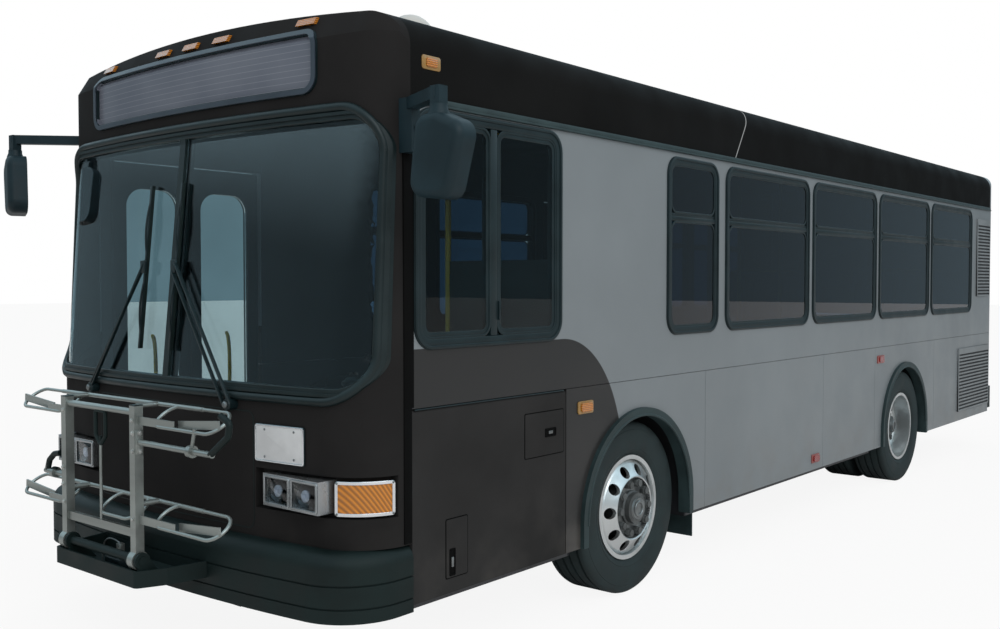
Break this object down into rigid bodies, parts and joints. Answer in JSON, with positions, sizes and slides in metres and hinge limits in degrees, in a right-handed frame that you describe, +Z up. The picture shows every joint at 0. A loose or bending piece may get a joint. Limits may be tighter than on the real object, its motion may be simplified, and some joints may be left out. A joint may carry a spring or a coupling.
{
  "type": "city bus",
  "caption": "Low-floor two-axle city bus with a bowed front mask, big side windows, folding curb-side doors and a tilting bike rack on its front bumper.",
  "frame": {"origin": "on the ground, at the middle of the bus's length over rack and rear bumper and of its width over mirrors", "axes": "+X forward, +Y to the driver's side, +Z up"},
  "size_m": [9.867, 3.5212, 3.0652],
  "materials": {
    "grey_paint": "satin metallic grey",
    "black_paint": "gloss black",
    "black_rubber": "moulded rubber",
    "black_trim": "satin black",
    "clear_glass": "clear laminated",
    "tinted_glass": "dark tint",
    "sign_glass": "dark blue-black pane",
    "chrome_lamp": "bright bezel",
    "amber_lens": "amber lens",
    "red_lens": "red lens",
    "floor_sheet": "ribbed floor sheet",
    "frame_paint": "black chassis paint",
    "pale_plastic": "pale grey",
    "dark_plastic": "grained dark grey",
    "seat_cloth": "dark woven cloth",
    "seat_plastic": "moulded seat shell",
    "yellow_rail": "yellow coat",
    "cast_metal": "cast",
    "rack_metal": "dull grey metal",
    "polished_wheel": "polished",
    "tyre_rubber": "black tyre",
    "door_frame": "black door frame"
  },
  "bodies": {
    "bus_body": {"left_side": "grey_paint", "right_side": "grey_paint", "tail_cap": "grey_paint", "roof": "black_paint", "front_mask": "black_paint", "windshield_rubber": "black_rubber", "windshield_panes": "clear_glass", "window_frames": "black_trim", "window_panes": "tinted_glass", "destination_sign": "sign_glass", "headlamps": "chrome_lamp", "amber_lamps": "amber_lens", "red_lamps": "red_lens", "floor": "floor_sheet", "wheel_housings": "black_trim", "underframe": "frame_paint", "front_bumper": "black_rubber", "rear_bumper": "black_rubber", "arch_trims": "black_rubber", "grilles": "grey_paint", "roof_dome": "pale_plastic", "mirrors": "black_trim", "wipers": "black_trim", "dashboard": "dark_plastic", "driver_seat": "seat_cloth", "driver_barrier": "dark_plastic", "passenger_seats": "seat_plastic", "grab_rails": "yellow_rail", "engine": "cast_metal", "front_axle": "frame_paint", "rear_axle": "frame_paint", "rack_base": "frame_paint"},
    "left_knuckle": {"knuckle_left": "frame_paint"},
    "right_knuckle": {"knuckle_right": "frame_paint"},
    "track_rod": {"tie_rod": "frame_paint"},
    "hand_wheel": {"steering_wheel": "dark_plastic"},
    "left_front_wheel": {"front_wheel_left": "polished_wheel", "front_tyre_left": "tyre_rubber"},
    "right_front_wheel": {"front_wheel_right": "polished_wheel", "front_tyre_right": "tyre_rubber"},
    "left_rear_wheel": {"rear_wheel_left": "polished_wheel", "rear_tyres_left": "tyre_rubber"},
    "right_rear_wheel": {"rear_wheel_right": "polished_wheel", "rear_tyres_right": "tyre_rubber"},
    "front_door_a": {"front_door_leaf_a": "door_frame"},
    "front_door_b": {"front_door_leaf_b": "door_frame"},
    "rear_door_a": {"rear_door_leaf_a": "door_frame"},
    "rear_door_b": {"rear_door_leaf_b": "door_frame"},
    "engine_flap": {"engine_door": "grey_paint"},
    "service_flap": {"service_door": "black_paint"},
    "bike_rack": {"rack_frame": "rack_metal"}
  },
  "joints": [
    {"name": "steer_left", "type": "hinge", "parent": "bus_body", "child": "left_knuckle", "pos_m": [2.3415, 0.905, 0.49], "axis": [0, 0, 1], "range_deg": [-40, 40]},
    {"name": "steer_right", "type": "hinge", "parent": "bus_body", "child": "right_knuckle", "pos_m": [2.3415, -0.905, 0.49], "axis": [0, 0, 1], "range_deg": [-40, 40]},
    {"name": "track_rod_swing", "type": "hinge", "parent": "left_knuckle", "child": "track_rod", "pos_m": [2.1115, 0.905, 0.235], "axis": [0, 0, 1], "range_deg": [-40, 40]},
    {"name": "hand_wheel_turn", "type": "hinge", "parent": "bus_body", "child": "hand_wheel", "pos_m": [3.6815, 0.64, 1.19], "axis": [-0.3746, 0, 0.9272], "range_deg": [-640, 640]},
    {"name": "left_front_wheel_spin", "type": "hinge", "parent": "left_knuckle", "child": "left_front_wheel", "pos_m": [2.3415, 1.095, 0.49], "axis": [0, 1, 0], "continuous": true},
    {"name": "left_rear_wheel_spin", "type": "hinge", "parent": "bus_body", "child": "left_rear_wheel", "pos_m": [-2.0685, 1.13, 0.49], "axis": [0, 1, 0], "continuous": true},
    {"name": "right_front_wheel_spin", "type": "hinge", "parent": "right_knuckle", "child": "right_front_wheel", "pos_m": [2.3415, -1.095, 0.49], "axis": [0, 1, 0], "continuous": true},
    {"name": "right_rear_wheel_spin", "type": "hinge", "parent": "bus_body", "child": "right_rear_wheel", "pos_m": [-2.0685, -1.13, 0.49], "axis": [0, 1, 0], "continuous": true},
    {"name": "front_door_a_swing", "type": "hinge", "parent": "bus_body", "child": "front_door_a", "pos_m": [4.0815, -1.273, 0.395], "axis": [0, 0, 1], "range_deg": [0, 90]},
    {"name": "front_door_b_swing", "type": "hinge", "parent": "bus_body", "child": "front_door_b", "pos_m": [3.0615, -1.273, 0.395], "axis": [0, 0, -1], "range_deg": [0, 90]},
    {"name": "rear_door_a_swing", "type": "hinge", "parent": "bus_body", "child": "rear_door_a", "pos_m": [-0.0985, -1.273, 0.395], "axis": [0, 0, 1], "range_deg": [0, 90]},
    {"name": "rear_door_b_swing", "type": "hinge", "parent": "bus_body", "child": "rear_door_b", "pos_m": [-1.2385, -1.273, 0.395], "axis": [0, 0, -1], "range_deg": [0, 90]},
    {"name": "engine_flap_lift", "type": "hinge", "parent": "bus_body", "child": "engine_flap", "pos_m": [-4.846, 0, 1.3645], "axis": [0, 1, 0], "range_deg": [0, 85]},
    {"name": "service_flap_lift", "type": "hinge", "parent": "bus_body", "child": "service_flap", "pos_m": [3.6155, 1.2715, 1.2015], "axis": [1, 0, 0], "range_deg": [0, 90]},
    {"name": "rack_fold", "type": "hinge", "parent": "bus_body", "child": "bike_rack", "pos_m": [4.8915, 0, 0.552], "axis": [0, 1, 0], "range_deg": [0, 90]}
  ],
  "couplings": [
    {"joint": "steer_right", "follows": "steer_left", "ratio": 1},
    {"joint": "track_rod_swing", "follows": "steer_left", "ratio": -1},
    {"joint": "hand_wheel_turn", "follows": "steer_left", "ratio": 16}
  ]
}
